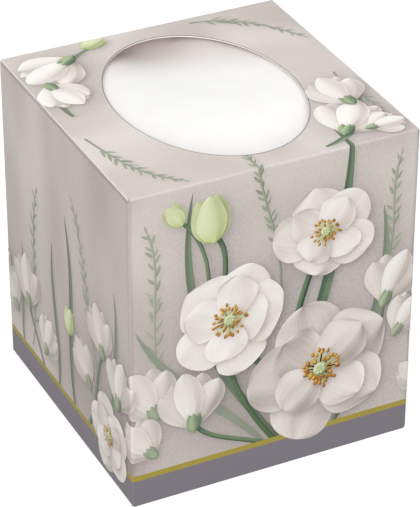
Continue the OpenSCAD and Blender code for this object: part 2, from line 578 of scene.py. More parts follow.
@dataclass(frozen=True)
class Strip:
    """A stem or a blade along a smooth line through given points."""

    line: Line
    width: float
    pointed: bool = False
    crease: float = 0.0
    rows: int = 30
    columns: int = 9

    # How a pointed strip starts and tapers, and how high it is when round and when creased
    START = 0.06
    TAPER = 0.6
    THINNEST = 0.02
    ROUND = 0.9
    FOLD = 0.55

    def grow(self, ink: Ink, bright: float = 0.0, bundle: int = 0) -> Patch:
        """Grows the strip where its points say.

        Args:
            ink: What it is printed with.
            bright: How much brighter than usual it is printed.
            bundle: The bundle that it belongs to.

        Returns:
            The patch.
        """
        t = np.linspace(0, 1, self.rows)
        knots = np.array(self.line, float)
        middle = np.zeros((self.rows, 2))
        order = len(knots) - 1
        for i, knot in enumerate(knots):
            middle += (math.comb(order, i) * t**i * (1 - t) ** (order - i))[:, None] * knot
        heading = np.gradient(middle, axis=0)
        heading /= np.linalg.norm(heading, axis=1, keepdims=True)
        side = np.stack([heading[:, 1], -heading[:, 0]], axis=1)
        across = np.sin(np.linspace(-1, 1, self.columns) * math.pi / 2)
        half = np.full(self.rows, self.width / 2)
        if self.pointed:
            way = self.START + (1 - self.START) * t
            half *= np.clip(np.sin(math.pi * way) ** self.TAPER, self.THINNEST, 1)
        flat = middle[:, None, :] + side[:, None, :] * (half[:, None] * across)[:, :, None]
        round_z = np.sqrt(1.02 - across**2) * self.ROUND * (1 - self.crease)
        crease_z = np.abs(across) * self.FOLD * self.crease
        z = half[:, None] * (round_z + crease_z)[None, :] + 0 * flat[:, :, 0]
        points = np.concatenate([flat, z[:, :, None]], axis=2)
        a, b = np.meshgrid(t, across, indexing="ij")
        return Patch(points, a, b, ink, bright, bundle=bundle)


@dataclass(frozen=True)
class Flower:
    """A motif at a place on its panel, of a size, and turned by an angle."""

    x: float
    y: float
    size: float
    turn: float = 0.0


@dataclass(frozen=True)
class PetalRing:
    """A ring of petals: their count, reach, breadth, cup, roll and brightness, and its turn."""

    count: int
    reach: float
    breadth: float
    cup: float
    roll: float
    bright: float
    turn: float


@dataclass(frozen=True)
class Blossom(Flower):
    """An open flower of two rings of broad petals round a heart with golden stamens."""

    tilt: float = 18.0
    toward: float = 200.0
    stamens: int = 44
    seed: int = 1

    RINGS = (
        PetalRing(5, 1.0, 0.98, 0.05, 0.16, 0.0, 0),
        PetalRing(4, 0.74, 0.72, 0.2, 0.2, 0.03, 31),
    )
    BEADS = 7
    # Width, length and height of the domes, as shares of the flower's size
    ANTHER = (0.05, 0.075, 0.035)
    HEART = (0.2, 0.2, 0.1)
    BEAD = (0.05, 0.05, 0.04)
    THREAD_WIDTH = 0.02
    THREAD_REACH = (0.13, 0.29)
    BEAD_REACH = 0.055

    def patches(self) -> list[Patch]:
        """Grows the flower, tilted out of the plane of the print as one that faces aside.

        Returns:
            Its patches, from the lowest to the uppermost.
        """
        chance = np.random.default_rng(self.seed)
        grown: list[Patch] = []
        for ring in self.RINGS:
            for i in [*range(0, ring.count, 2), *range(1, ring.count, 2)]:
                form = PetalForm(
                    self.size * ring.reach * chance.uniform(0.94, 1.05),
                    self.size * ring.breadth * chance.uniform(0.94, 1.06),
                    cup=ring.cup,
                    roll=ring.roll,
                    ruffle=chance.uniform(0.03, 0.06),
                )
                turn = self.turn + ring.turn + 360 * i / ring.count + chance.uniform(-5, 5)
                grown += place([form.grow(Ink.PETAL, chance, ring.bright)], 0, 0, turn)
        grown += self.heart(chance)
        toward = math.radians(self.toward)
        axis = Vector((-math.sin(toward), math.cos(toward), 0))
        rotation = np.array(Matrix.Rotation(math.radians(self.tilt), 3, axis))
        for patch in grown:
            patch.points = patch.points @ rotation.T
        return place(grown, self.x, self.y)

    def heart(self, chance: np.random.Generator) -> list[Patch]:
        """Grows the green heart and the stamens round it.

        Args:
            chance: Source of the small differences between stamens.

        Returns:
            The patches, from the lowest to the uppermost.
        """
        size = self.size
        grown: list[Patch] = []
        for i in range(self.stamens):
            angle = 360 * i / self.stamens + chance.uniform(-6, 6)
            reach = size * chance.uniform(*self.THREAD_REACH)
            thread = Strip(((0, 0), (0, reach)), size * self.THREAD_WIDTH, rows=4)
            thread = thread.grow(Ink.BUD, 0.1, 1)
            anther = Dome(*[size * share for share in self.ANTHER])
            anther = anther.grow(Ink.GOLD, chance.uniform(-0.2, 0.12), 2 + i % 3)
            grown += place([thread, *place([anther], 0, reach)], 0, 0, angle)
        middle = Dome(*[size * share for share in self.HEART], points=9)
        grown.append(middle.grow(Ink.BUD, bundle=5))
        for i in range(self.BEADS):
            bead = Dome(*[size * share for share in self.BEAD]).grow(Ink.BUD, 0.12, 6)
            reach = size * self.BEAD_REACH
            grown += place(place([bead], 0, reach), 0, 0, 360 * i / self.BEADS)
        return sorted(grown, key=lambda patch: patch.bundle)


@dataclass(frozen=True)
class Bell(Flower):
    """A half-open small flower seen from the side, on a green calyx."""

    spread: float = 22.0
    fade: float = 0.0
    seed: int = 1
    glow: float = 0.05

    # Each petal's turn as a share of the spread, its length as a share, and its brightness
    PETALS = (
        (-0.55, 0.94, -0.1),
        (0.6, 0.92, -0.12),
        (-1.1, 0.86, -0.02),
        (1.1, 0.86, -0.04),
        (0.05, 1.0, 0.06),
    )
    SCALE_TURNS = (-16, 15, 0)

    def patches(self) -> list[Patch]:
        """Grows the flower.

        Returns:
            Its patches, from the lowest to the uppermost.
        """
        chance = np.random.default_rng(self.seed)
        size, grown = self.size, []
        for angle, share, bright in self.PETALS:
            form = PetalForm(size * share, size * 0.46, 1.5, 0.66, 0.1, 0.5, 0.04, 18, 13)
            petal = form.grow(Ink.PETAL, chance, bright + self.glow)
            grown += place([petal], 0, 0, self.spread * angle)
        for angle in self.SCALE_TURNS:
            scale = PetalForm(size * 0.34, size * 0.15, 0.9, 0.8, 0.0, 0.4, 0.0, 10, 7)
            grown += place([scale.grow(Ink.LEAF, chance, 0.12)], 0, -size * 0.06, angle)
        return place(faded(grown, self.fade), self.x, self.y, self.turn)


@dataclass(frozen=True)
class Bud(Flower):
    """A closed, pale green bud."""

    seed: int = 1

    # Each petal's turn, its breadth as a share of the length, and its brightness
    PETALS = ((-13, 0.6, -0.04), (14, 0.58, -0.08), (1, 0.62, 0.05))

    def patches(self) -> list[Patch]:
        """Grows the bud.

        Returns:
            Its patches, from the lowest to the uppermost.
        """
        chance = np.random.default_rng(self.seed)
        grown: list[Patch] = []
        for angle, breadth, bright in self.PETALS:
            form = PetalForm(self.size, self.size * breadth, 0.92, 0.62, 0.0, 0.5, 0.01, 20, 15)
            grown += place([form.grow(Ink.BUD, chance, bright)], 0, 0, angle)
        return place(grown, self.x, self.y, self.turn)


@dataclass(frozen=True)
class Sprig:
    """A thin stalk with leaflets to either side."""

    line: Line
    leaflet: float = 6.0
    pairs: int = 7
    fade: float = 0.2
    seed: int = 1

    # How far up the stalk its first leaflet stands
    BARE = 0.16

    def patches(self) -> list[Patch]:
        """Grows the sprig.

        Returns:
            Its patches, from the lowest to the uppermost.
        """
        chance = np.random.default_rng(self.seed)
        stalk = Strip(self.line, 0.9, rows=24).grow(Ink.LEAF, 0.05)
        middle = stalk.points[:, 4, :2]
        grown: list[Patch] = []
        last = 2 * self.pairs
        for i in range(last + 1):
            at = self.BARE + (1 - self.BARE) * i / last
            row = int(round(at * (len(middle) - 1)))
            ahead = middle[min(row + 1, len(middle) - 1)] - middle[max(row - 1, 0)]
            heading = math.degrees(math.atan2(ahead[1], ahead[0])) - 90
            side = 0 if i == last else (1 if i % 2 else -1)
            size = self.leaflet * (1.05 - 0.45 * at) * chance.uniform(0.85, 1.15)
            form = PetalForm(size, size * chance.uniform(0.2, 0.3), 0.95, 0.8, 0.0, 0.35, 0.02, 8, 5)
            leaf = form.grow(Ink.LEAF, chance, chance.uniform(-0.06, 0.16))
            leaf.bundle = 7 + i % 4
            grown += place([leaf], *middle[row], heading + side * chance.uniform(20, 44))
        grown.sort(key=lambda patch: patch.bundle)
        return faded([*grown, stalk], self.fade)


@dataclass(frozen=True)
class Stem:
    """A stem, or a blade where it is pointed."""

    line: Line
    width: float = 2.4
    blade: bool = False
    fade: float = 0.0
    bright: float = 0.0

    # A stem that starts lower than this grows out from behind the gold line
    GROUND = 14

    def patches(self) -> list[Patch]:
        """Grows the stem or blade.

        Returns:
            Its one patch.
        """
        strip = Strip(self.line, self.width, self.blade, 0.85 if self.blade else 0.0)
        patch = strip.grow(Ink.LEAF, self.bright)
        patch.grounded = self.line[0][1] < self.GROUND
        return faded([patch], self.fade)


Motif = Blossom | Bell | Bud | Sprig | Stem


class Term:
    """A number, vector or colour in a material; arithmetic on it adds Math nodes."""

    def __init__(self, graph: "Graph", node: bpy.types.Node, output: int | str = 0) -> None:
        """Stands for one output of a node.

        Args:
            graph: The nodes that it is part of.
            node: The node.
            output: The output's place or name.
        """
        self.graph, self.socket = graph, node.outputs[output]

    def __add__(self, other: object) -> "Term":
        """Adds a value."""
        return self.graph.math("ADD", self, other)

    def __sub__(self, other: object) -> "Term":
        """Takes a value off."""
        return self.graph.math("SUBTRACT", self, other)

    def __rsub__(self, other: object) -> "Term":
        """Takes this off a value."""
        return self.graph.math("SUBTRACT", other, self)

    def __mul__(self, other: object) -> "Term":
        """Multiplies by a value."""
        return self.graph.math("MULTIPLY", self, other)

    def __gt__(self, other: object) -> "Term":
        """Gives 1 where this is greater than a value."""
        return self.graph.math("GREATER_THAN", self, other)

    def __lt__(self, other: object) -> "Term":
        """Gives 1 where this is less than a value."""
        return self.graph.math("LESS_THAN", self, other)

    def __abs__(self) -> "Term":
        """Drops the sign."""
        return self.graph.math("ABSOLUTE", self)

    def least(self, other: object) -> "Term":
        """Gives the smaller of two."""
        return self.graph.math("MINIMUM", self, other)

    def most(self, other: object) -> "Term":
        """Gives the greater of two."""
        return self.graph.math("MAXIMUM", self, other)

    def ramp(self, low: float, high: float) -> "Term":
        """Rises smoothly from 0 to 1.

        Args:
            low: Where it is 0.
            high: Where it is 1.

        Returns:
            The risen value.
        """
        ends = {"Value": self, "From Min": low, "From Max": high}
        made = self.graph.add("MapRange", ends, interpolation_type="SMOOTHSTEP")
        return Term(self.graph, made, "Result")

    def parts(self) -> list["Term"]:
        """Splits a vector into its three numbers."""
        made = self.graph.add("SeparateXYZ", {0: self})
        return [Term(self.graph, made, i) for i in range(3)]

    def stretched(self, scale: tuple[float, float, float]) -> "Term":
        """Scales a vector axis by axis."""
        return Term(self.graph, self.graph.add("Mapping", {"Vector": self, "Scale": scale}), "Vector")

    def noise(self, scale: float, detail: float, roughness: float = 0.5) -> "Term":
        """Gives a soft random value from 0 to 1 over a vector."""
        inputs = {"Vector": self, "Scale": scale, "Detail": detail, "Roughness": roughness}
        return Term(self.graph, self.graph.add("TexNoise", inputs), "Fac")


class Graph:
    """The nodes of a material or of the world, with short calls for what the finishes share."""

    # Where a Mix node keeps its two colours and the mixed one
    MIX_FIRST, MIX_SECOND, MIXED = 6, 7, 2

    def __init__(self, owner: bpy.types.Material | bpy.types.World) -> None:
        """Gives an empty material or world its nodes.

        Args:
            owner: The material or world.
        """
        owner.use_nodes = True
        self.owner, self.tree = owner, owner.node_tree
        nodes = self.tree.nodes
        self.shader = nodes.get("Principled BSDF") or nodes["Background"]

    @classmethod
    def of(cls, name: str) -> "Graph":
        """Makes an empty material with one Principled surface."""
        return cls(bpy.data.materials.new(name))

    def put(self, socket: bpy.types.NodeSocket, value: object) -> None:
        """Links a socket to a term, or sets its value.

        Args:
            socket: The socket.
            value: The term or value.
        """
        if isinstance(value, Term):
            self.tree.links.new(value.socket, socket)
        else:
            socket.default_value = value

    def add(self, kind: str, inputs: dict, **settings: object) -> bpy.types.Node:
        """Adds a node.

        Args:
            kind: Its kind, without the words that all kinds share.
            inputs: Values or terms for its inputs, by their place or name.
            **settings: Its own settings.

        Returns:
            The node.
        """
        made = self.tree.nodes.new(f"ShaderNode{kind}")
        for key, value in settings.items():
            setattr(made, key, value)
        for key, value in inputs.items():
            self.put(made.inputs[key], value)
        return made

    def math(self, operation: str, *values: object) -> Term:
        """Adds a Math node over one or two values."""
        return Term(self, self.add("Math", dict(enumerate(values)), operation=operation))

    def blend(self, share: object, first: object, second: object, kind: str = "MIX") -> Term:
        """Mixes two colours by a share from 0 to 1."""
        colours = {0: share, self.MIX_FIRST: first, self.MIX_SECOND: second}
        return Term(self, self.add("Mix", colours, data_type="RGBA", blend_type=kind), self.MIXED)

    def joined(self, kind: str, *values: object) -> Term:
        """Joins three numbers to a vector, XYZ, or to a colour, Color."""
        return Term(self, self.add(f"Combine{kind}", dict(enumerate(values))))

    def attribute(self, name: str) -> Term:
        """Reads a number that the mesh holds at its points."""
        return Term(self, self.add("Attribute", {}, attribute_name=name), "Fac")

    def where(self) -> Term:
        """Gives the place on the object in metres."""
        return Term(self, self.add("TexCoord", {}), "Object")

    def seen(self) -> Term:
        """Tells which rays show the surface itself, straight or through a shiny one.

        Returns:
            1 for those rays and 0 for the others.
        """
        made = self.add("LightPath", {})
        kinds = [Term(self, made, f"Is {kind} Ray") for kind in ("Camera", "Glossy", "Transmission")]
        return kinds[0].most(kinds[1].most(kinds[2]))

    def bump(self, height: Term, strength: float, distance: float) -> None:
        """Gives the surface a bump from a height."""
        made = self.add("Bump", {"Strength": strength, "Distance": distance, "Height": height})
        self.put(self.shader.inputs["Normal"], Term(self, made, "Normal"))

    def finish(self, colour: object, roughness: float, shine: float) -> bpy.types.Material:
        """Sets the surface's colour and gloss.

        Args:
            colour: The colour or its term.
            roughness: The roughness, the same all over.
            shine: The specular level, the same all over.

        Returns:
            The material.
        """
        self.put(self.shader.inputs["Base Color"], colour)
        self.shader.inputs["Roughness"].default_value = roughness
        self.shader.inputs["Specular IOR Level"].default_value = shine
        return self.owner


@dataclass(frozen=True)
class Cloud:
    """Soft patches: their scale, their detail, where they begin and are full, and their stretch."""

    scale: float
    detail: float
    low: float
    high: float
    stretch: float = 1.0

    def over(self, where: Term) -> Term:
        """Spreads the patches over a surface, drawn out in height by the stretch."""
        where = where if self.stretch == 1 else where.stretched((1.0, 1.0, self.stretch))
        return where.noise(self.scale, self.detail).ramp(self.low, self.high)


class BoardPoint:
    """A point of the carton as its material reads it, in metres."""

    def __init__(self, g: Graph, s: CartonSizes) -> None:
        """Reads the point's place, how its surface faces, and its distance from the outside.

        Args:
            g: The material's nodes.
            s: The carton's sizes.
        """
        self.where = g.where()
        self.x, self.y, self.z = self.where.parts()
        normal = Term(g, g.add("NewGeometry", {}), "True Normal").parts()
        self.facing_x, self.facing_z = abs(normal[0]), abs(normal[2])
        self.from_side = s.half_w * MM - abs(self.x)
        self.from_face = s.half_d * MM - abs(self.y)
        self.from_top = s.height * MM - self.z


@dataclass(frozen=True)
class PrintedBoard:
    """The board: misty warm grey print outside, white cut edges, an unprinted inside, and shade painted
    on its folds.
    """

    sizes: CartonSizes
    dark: Colour = srgb(187, 177, 171)
    light: Colour = srgb(215, 205, 199)
    side_dark: Colour = srgb(186, 175, 169)
    side_light: Colour = srgb(221, 211, 205)
    pale: Colour = srgb(231, 224, 219)
    shaded: Colour = srgb(84, 78, 78)
    band: Colour = srgb(128, 123, 130)
    gold: Colour = srgb(165, 150, 70)
    edge: Colour = srgb(242, 237, 233)
    # Grey of the painted shade on the folds and of the thin darker line round the opening
    fold_shade_and_rim_line: Colour = srgb(118, 110, 106)
    inside: Colour = srgb(243, 237, 234)
    base: Colour = srgb(232, 229, 224)
    mist: Cloud = Cloud(17, 1.5, 0.36, 0.66)
    streaks: Cloud = Cloud(30, 1.0, 0.3, 0.72, 0.42)
    glow: Cloud = Cloud(24, 1.0, 0.46, 0.72)
    mist_share: float = 0.72
    mist_least: float = 0.28
    top_lift: float = 0.1
    corner_lift: float = 0.6
    streak_share: float = 0.7
    glow_share: float = 0.75
    shade_share: float = 0.7
    grain: float = 0.24
    grain_in_shade: float = 1.1
    # Where the thin darker line round the opening lies, as shares of the opening's size, and how dark
    # it is
    rim_line_reach: tuple[float, float] = (1.005, 1.014)
    rim_line_depth: float = 0.85
    # How strong the painted shade is on the upright folds and on the flaps' fold under the top panel
    upright_fold_shade: float = 0.3
    flap_fold_shade: float = 0.5
    skin: float = 0.36
    slack: float = 0.02
    level: float = 0.9
    roughness: float = 0.55
    shine: float = 0.16

    def material(self) -> bpy.types.Material:
        """Makes the material that the carton and its printed panels share.

        Returns:
            The material.
        """
        g, s = Graph.of("printed_board"), self.sizes
        at = BoardPoint(g, s)
        colour = self.ground(g, at)
        deep = at.from_side.least(at.from_face).least(at.from_top.least(at.z))
        for share, paint in (
            (g.attribute("shade") * self.shade_share, self.shaded),
            # Then the thin darker line round the opening, and painted shade on the folds
            (self.rim_line(g, at), self.fold_shade_and_rim_line),
            (self.crease(at), self.fold_shade_and_rim_line),
            (at.z < s.gold_top * MM, self.gold),
            (at.z < s.band_top * MM, self.band),
            (deep > self.skin * MM, self.inside),
            (self.raw(at), self.edge),
            ((at.z < 0.05 * MM) * (at.facing_z > self.level), self.base),
        ):
            colour = g.blend(share, colour, paint)
        g.bump(at.where.stretched((1.0, 1.0, 0.6)).noise(2200, 3), 0.06, 0.1 * MM)
        return g.finish(colour, self.roughness, self.shine)

    def ground(self, g: Graph, at: BoardPoint) -> Term:
        """Paints the misty ground of the print, with the grain that its shade makes coarser.

        Args:
            g: The material's nodes.
            at: The point of the carton.

        Returns:
            The colour.
        """
        on_top = at.z > (self.sizes.height - self.sizes.fold_radius) * MM
        upper_right = at.z.ramp(50 * MM, 105 * MM) * at.x.ramp(-35 * MM, 25 * MM) * (1 - on_top)
        mist = self.mist.over(at.where) * self.mist_share + (on_top * self.top_lift + self.mist_least)
        mist = mist + upper_right * self.corner_lift
        rearward = at.y.ramp(-50 * MM, 40 * MM) * 0.5 - 0.12
        streaks = self.streaks.over(at.where) * self.streak_share + rearward
        sides = g.blend(streaks, self.side_dark, self.side_light)
        colour = g.blend(at.facing_x, g.blend(mist, self.dark, self.light), sides)
        glow = self.glow.over(at.where) * on_top * self.glow_share
        colour = g.blend(glow, colour, self.pale)
        coarseness = g.attribute("shade") * self.grain_in_shade + self.grain
        grain = (at.where.noise(1700, 2, 0.7) - 0.5) * coarseness + 1.0
        return g.blend(1.0, colour, g.joined("Color", grain, grain, grain), "MULTIPLY")

    def rim_line(self, g: Graph, at: BoardPoint) -> Term:
        """Finds the thin darker line painted round the opening.

        Args:
            g: The material's nodes.
            at: The point of the carton.

        Returns:
            How much of the line is there, from 0 to 1.
        """
        s = self.sizes
        across = g.math("POWER", g.math("DIVIDE", at.x, s.opening_w / 2 * MM), 2.0)
        along = g.math("POWER", g.math("DIVIDE", at.y, s.opening_l / 2 * MM), 2.0)
        near = 1 - g.math("SQRT", across + along).ramp(*self.rim_line_reach)
        return near * (at.z > (s.height - 0.05) * MM) * self.rim_line_depth

    def crease(self, at: BoardPoint) -> Term:
        """Finds where shade is painted on the folds: the upright ones, and those of the flaps under the
        top.

        Args:
            at: The point of the carton.

        Returns:
            How much painted shade is there, from 0 to 1.
        """
        upright = 1 - at.from_side.most(at.from_face).ramp(0.1 * MM, 2.0 * MM)
        from_flap = self.sizes.side_top * MM - at.z
        flap = 1 - at.from_side.most(abs(from_flap)).ramp(0.3 * MM, 1.4 * MM)
        return (upright * self.upright_fold_shade).most(flap * (from_flap > -0.1 * MM) * self.flap_fold_shade)

    def raw(self, at: BoardPoint) -> Term:
        """Finds the cut edges of the board, where its white core shows.

        Args:
            at: The point of the carton.

        Returns:
            1 on a cut edge and 0 elsewhere.
        """
        s = self.sizes
        high = at.z > (s.height - s.board - self.slack) * MM
        top_edge = high * (at.facing_z < 0.4) * (at.y > (s.fold_radius - s.half_d) * MM)
        back = at.y > (s.half_d - s.board - self.slack) * MM
        below_top = (at.z > (s.side_top - 0.2) * MM) * (at.z < (s.height - 0.1) * MM)
        back_top = back * (at.facing_z > self.level) * below_top
        seam = (at.x > (s.half_w - s.raw_inset - 0.03) * MM) * back * (at.facing_x > self.level)
        seam = seam * (at.z < s.side_top * MM)
        chip = at.where.noise(900, 2) * (0.35 * MM)
        border = (abs(at.x) - (s.half_w - s.raw_inset - 0.42) * MM > chip) * high
        fold_end = (at.facing_x > 0.98) * high
        return top_edge.most(border).most(back_top).most(seam).most(fold_end)


@dataclass(frozen=True)
class MotifInk:
    """One ink of the printed motifs, from its deepest tone to its brightest."""

    name: str
    tones: tuple[Colour, ...]
    flush: Colour
    flush_reach: float
    veins: float
    mist: Colour = srgb(212, 203, 197)
    grain: float = 0.1
    roughness: float = 0.55
    shine: float = 0.16

    def material(self) -> bpy.types.Material:
        """Makes the ink's material from the tones that the mesh holds.

        Returns:
            The material.
        """
        g = Graph.of(self.name)
        along = g.attribute("along")
        run = g.joined("XYZ", g.attribute("across") * 11.0, along * 1.3, g.attribute("seed") * 40.0)
        vein = run.noise(1.0, 3, 0.6) - 0.5
        grain = g.where().noise(1500, 2, 0.7) - 0.5
        steps = g.add("ValToRGB", {0: vein * self.veins + g.attribute("tone") + grain * self.grain})
        stops, last = steps.color_ramp.elements, len(self.tones) - 1
        for i, colour in enumerate(self.tones):
            stop = stops[0] if i == 0 else stops[-1] if i == last else stops.new(i / last)
            stop.position, stop.color = i / last, colour
        near = 1 - along.ramp(0.0, self.flush_reach)
        colour = g.blend(near, Term(g, steps), self.flush, "MULTIPLY")
        colour = g.blend(g.attribute("fade"), colour, self.mist)
        return g.finish(colour, self.roughness, self.shine)


INKS = {
    Ink.PETAL: MotifInk(
        "petal_ink",
        (srgb(108, 97, 92), srgb(178, 167, 160), srgb(229, 220, 213), srgb(253, 250, 246)),
        srgb(238, 230, 178),
        0.3,
        0.2,
    ),
    Ink.LEAF: MotifInk(
        "leaf_ink",
        (srgb(30, 44, 34), srgb(62, 85, 66), srgb(108, 131, 100), srgb(182, 198, 158)),
        srgb(222, 224, 200),
        0.3,
        0.34,
    ),
    Ink.BUD: MotifInk(
        "bud_ink",
        (srgb(110, 120, 84), srgb(166, 176, 130), srgb(206, 213, 166), srgb(236, 238, 208)),
        srgb(236, 240, 214),
        0.4,
        0.14,
    ),
    Ink.GOLD: MotifInk(
        "stamen_ink",
        (srgb(92, 54, 26), srgb(160, 106, 48), srgb(208, 160, 72), srgb(240, 216, 128)),
        srgb(236, 226, 200),
        0.2,
        0.1,
    ),
}


class Printing:
    """Lays the printed motifs over the carton, with their soft shade on the ground."""

    FILM = 0.04
    LIFT = 0.016
    PITCH = 1.2
    CLOSE = 1e-4
    SEED_STEP = 0.37
    EDGE_GAP = 0.02
    RIM_GAP = 0.03
    MOTIF_RIM_GAP = 0.04
    TOP_SPOKES = 288
    TOP_RINGS = 24
    # Strength, drop and spread of the shade that motifs cast on each other and on the ground
    MOTIF_SHADES = ((0.34, 0.8, 0.8), (0.2, 1.6, 2.6))
    GROUND_SHADES = ((0.4, 0.9, 1.0), (0.7, 2.4, 7.5))

    def __init__(self, blank: Blank, board: bpy.types.Material) -> None:
        """Grows every motif and works out how they lie over each other.

        Args:
            blank: The carton's flat blank.
            board: The material of the printed board.
        """
        self.blank, self.board, self.map = blank, board, ShadeMap(blank)
        self.inks = [INKS[ink].material() for ink in Ink]
        self.grown: list[tuple[Panel, Patch]] = []
        for panel in Panel:
            patches = [patch for motif in MOTIFS[panel] for patch in motif.patches()]
            place(patches, *blank.panel_corner(panel))
            self.grown += [(panel, patch) for patch in patches]
        for _, members in groupby(enumerate(self.grown), key=self.layer_key):
            patches = [patch for _, (_, patch) in members]
            level = self.map.stack([patch.outline() for patch in patches])
            for patch in patches:
                patch.level = level
        for _, patch in reversed(self.grown):
            shade = self.map.shades(patch.points.reshape(-1, 3), self.MOTIF_SHADES)
            patch.shade = shade.reshape(patch.along.shape)
            self.map.add(patch.outline(), 1 - patch.fade)

    @staticmethod
    def layer_key(item: tuple[int, tuple[Panel, Patch]]) -> tuple[int, int]:
        """Tells which neighbours in the list share a layer: those of one bundle."""
        number, (_, patch) = item
        return (0, patch.bundle) if patch.bundle else (1, number)

    def motifs(self, panel: Panel) -> None:
        """Makes the printed motifs of one panel as one piece.

        Args:
            panel: The panel.
        """
        mesh = bmesh.new()
        names = ("tone", "fade", "along", "across", "seed")
        layers = {name: mesh.verts.layers.float.new(name) for name in names}
        for number, (home, patch) in enumerate(self.grown):
            if home is panel:
                self.lay(mesh, layers, patch, (number * self.SEED_STEP) % 1)
        self.trim(mesh)
        self.wrap(mesh, f"motifs_{panel.value}", self.inks)

    def lay(self, mesh: bmesh.types.BMesh, layers: dict, patch: Patch, seed: float) -> None:
        """Adds one patch to a panel's mesh, still flat.

        Args:
            mesh: The mesh.
            layers: Its layers for the numbers that the inks read.
            patch: The patch.
            seed: A number from 0 to 1 that sets its veins apart.
        """
        rows, columns = patch.along.shape
        made = bmesh.ops.create_grid(mesh, x_segments=columns - 1, y_segments=rows - 1, size=1)
        tones = patch.tones() * (1 - patch.shade)
        varied = {"tone": tones, "along": patch.along, "across": patch.across}
        lift = self.FILM + self.LIFT * patch.level
        for vert in made["verts"]:
            column = round((vert.co.x + 1) / 2 * (columns - 1))
            row = round((vert.co.y + 1) / 2 * (rows - 1))
            vert.co = (*patch.points[row, column, :2], lift)
            vert[layers["fade"]], vert[layers["seed"]] = patch.fade, seed
            for name, values in varied.items():
                vert[layers[name]] = values[row, column]
            for face in vert.link_faces:
                face.material_index = patch.ink.value
        if patch.grounded:
            self.cut(mesh, 1, self.blank.sizes.gold_top, made["verts"])

    def cut(
        self,
        mesh: bmesh.types.BMesh,
        axis: int,
        at: float,
        patch: list[bmesh.types.BMVert] | None = None,
    ) -> None:
        """Cuts a flat mesh along a line, or a patch of it, which loses what lies below.

        Args:
            mesh: The mesh.
            axis: The axis that the line crosses.
            at: Where it crosses it.
            patch: The patch's points, or None for the whole mesh.
        """
        reach = [vert.co[axis] for vert in patch or mesh.verts]
        if not reach or not min(reach) < at < max(reach):
            return
        geom = mesh.verts[:] + mesh.edges[:] + mesh.faces[:]
        if patch:
            edges = {edge for vert in patch for edge in vert.link_edges}
            geom = [*patch, *edges, *{face for vert in patch for face in vert.link_faces}]
        point, normal = Vector((0, 0, 0)), Vector((0, 0, 0))
        point[axis], normal[axis] = at, 1
        bmesh.ops.bisect_plane(
            mesh, geom=geom, dist=self.CLOSE, plane_co=point, plane_no=normal, clear_inner=bool(patch)
        )

    def trim(self, mesh: bmesh.types.BMesh) -> None:
        """Takes away what would lie past the board's raw edges or over the opening.

        Args:
            mesh: The flat mesh.
        """
        s = self.blank.sizes
        fold_end = s.height + s.fold_radius
        if max(vert.co.y for vert in mesh.verts) > s.side_top:
            side, back = s.half_w - s.raw_inset, s.height + s.depth - s.raw_inset
            for x in (-side, side, -s.flat_w, s.flat_w):
                self.cut(mesh, 0, x)
            for y in (s.side_top, fold_end, back):
                self.cut(mesh, 1, y)
            past = []
            for face in mesh.faces:
                x, y, _ = face.calc_center_median()
                half = s.flat_w if y < fold_end else side
                if y > s.side_top and half < abs(x) < s.wall_pitch - s.flat_w or y > back:
                    past.append(face)
            bmesh.ops.delete(mesh, geom=past, context="FACES")
        half = np.array([s.opening_w, s.opening_l]) / 2 + self.MOTIF_RIM_GAP
        middle = np.array([0, s.height + s.half_d])
        rim = set()
        for vert in mesh.verts:
            away = (np.array(vert.co[:2]) - middle) / half
            reach = float(np.hypot(*away))
            if reach < 1:
                vert.co[0], vert.co[1] = middle + away / max(reach, 1e-6) * half
                rim.add(vert)
        lost = [face for face in mesh.faces if all(vert in rim for vert in face.verts)]
        bmesh.ops.delete(mesh, geom=lost, context="FACES")

    def wrap(self, mesh: bmesh.types.BMesh, name: str, materials: list[bpy.types.Material]) -> None:
        """Folds a flat mesh onto the carton and makes it a piece.

        Args:
            mesh: The flat mesh, in millimetres, which is freed.
            name: The piece's name.
            materials: Its materials, by slot.
        """
        for axis, at in self.blank.fold_lines():
            self.cut(mesh, axis, at)
        flat = np.array([vert.co for vert in mesh.verts])
        for vert, co in zip(mesh.verts, self.blank.folded(flat) * MM):
            vert.co = co
        self.face_out(mesh)
        add_piece(mesh, name, materials)

    def face_out(self, mesh: bmesh.types.BMesh) -> None:
        """Turns round each face that points into the carton.

        Args:
            mesh: The folded mesh, in metres.
        """
        mesh.normal_update()
        s = self.blank.sizes
        middle = Vector((0, 0, s.height / 2 * MM))
        wrong = []
        for face in mesh.faces:
            out = (face.calc_center_median() - middle) * Vector((1, 1, s.width / s.height))
            largest = max(range(3), key=lambda i: abs(out[i]))
            if face.normal[largest] * out[largest] < 0:
                wrong.append(face)
        bmesh.ops.reverse_faces(mesh, faces=wrong)

    def wall_film(self, wall: Wall) -> None:
        """Makes the printed ground of one wall as a film on the board.

        Args:
            wall: The wall.
        """
        s = self.blank.sizes
        middle, half = self.blank.wall_middle(wall), self.blank.wall_half(wall)
        first, last = middle - half, middle + half
        top = s.height + s.fold_radius if wall is Wall.FRONT else s.height - 2 * s.fold_radius
        if wall is Wall.BACK:
            first += 2 * s.raw_inset
            top = s.side_top - 0.1
        if wall is Wall.RIGHT:
            last -= s.layer_pitch + 2 * s.fold_radius
        bottom = 2 * s.fold_radius
        columns, rows = round((last - first) / self.PITCH), round((top - bottom) / self.PITCH)
        mesh = bmesh.new()
        size = Matrix.Diagonal(((last - first) / 2, (top - bottom) / 2, 1, 1))
        shift = Matrix.Translation(((first + last) / 2, (top + bottom) / 2, self.FILM))
        bmesh.ops.create_grid(mesh, x_segments=columns, y_segments=rows, size=1, matrix=shift @ size)
        self.trim(mesh)
        self.shade_ground(mesh)
        self.wrap(mesh, f"print_{wall.name.lower()}", [self.board])

